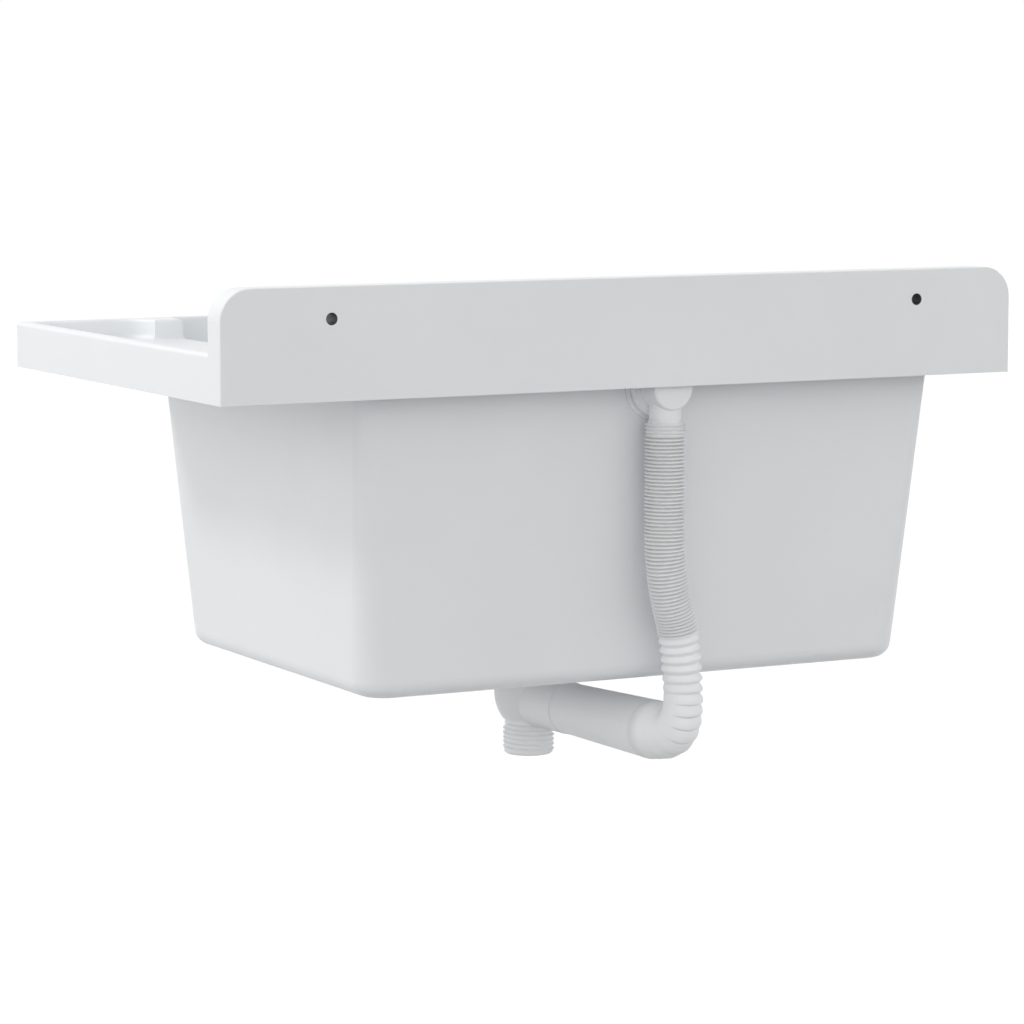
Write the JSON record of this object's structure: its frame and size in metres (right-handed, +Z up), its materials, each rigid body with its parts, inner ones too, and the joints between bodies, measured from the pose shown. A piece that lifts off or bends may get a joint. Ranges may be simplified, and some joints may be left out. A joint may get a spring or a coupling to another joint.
{
  "type": "wall-hung utility sink",
  "caption": "Wall-hung utility sink: thin-lipped rim with a wall upstand and side tray, deep tapered tub, ribbed overflow hose and threaded waste tail.",
  "frame": {"origin": "midway between the two wall-screw holes, on the wall face of the upstand", "axes": "+X to the user's right along the wall, +Y into the wall, +Z up"},
  "size_m": [0.6, 0.37, 0.357],
  "materials": {
    "cast_resin": "smooth satin gloss",
    "white_plastic": "moulded, low sheen",
    "hose_plastic": "soft, low sheen",
    "stainless": "polished",
    "brass": "plain",
    "seal_rubber": "matte, pale",
    "plug_rubber": "matte"
  },
  "bodies": {
    "sink": {"basin": "cast_resin", "strainer_seal": "seal_rubber", "strainer": "stainless", "waste_screw": "stainless", "waste_gasket": "seal_rubber", "waste_body": "white_plastic", "waste_insert": "brass", "inlet_seal": "seal_rubber", "hose_cuff": "white_plastic", "overflow_hose": "hose_plastic", "overflow_gasket": "seal_rubber", "overflow_body": "white_plastic", "overflow_insert": "brass", "overflow_rosette": "stainless", "overflow_screw": "stainless"},
    "plug": {"plug": "plug_rubber", "plug_grip": "white_plastic"}
  },
  "joints": [
    {"name": "plug_lift", "type": "slide", "parent": "sink", "child": "plug", "axis": [0, 0, 1], "range_m": [0, 0.29]}
  ]
}
